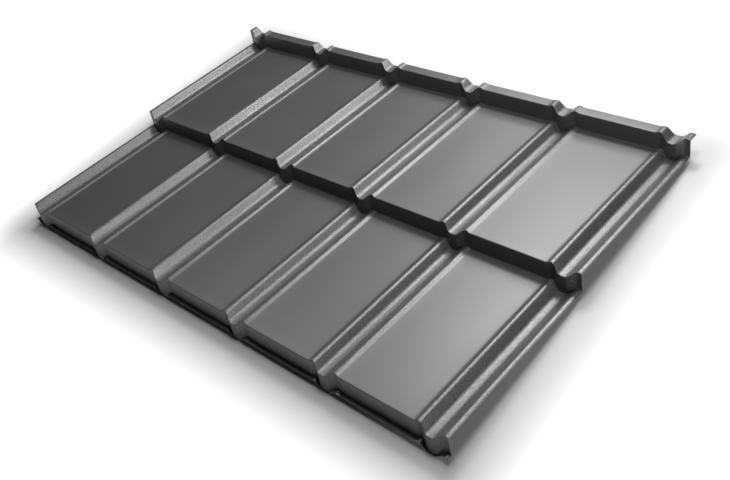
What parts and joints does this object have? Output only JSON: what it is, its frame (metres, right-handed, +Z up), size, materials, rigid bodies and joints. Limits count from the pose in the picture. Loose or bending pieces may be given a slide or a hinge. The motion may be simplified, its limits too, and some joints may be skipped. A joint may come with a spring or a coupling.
{
  "type": "metal roof tile sheet",
  "caption": "Stepped metal roof tile: a thin coated steel sheet pressed into wide flat pans between narrow troughs, with an upright step at the front of each row",
  "frame": {"origin": "middle of the sheet's footprint, on the level plane that the undersides of its troughs rest on", "axes": "X runs across the sheet along the wave, Y runs from the front edge (eave side) to the back edge (ridge side), Z is up"},
  "size_m": [1.204, 0.7406, 0.0472],
  "materials": {
    "coated_steel": "matt textured dark graphite grey polyester coat on galvanised steel"
  },
  "bodies": {
    "root": {"tile_sheet": "coated_steel"}
  },
  "joints": []
}
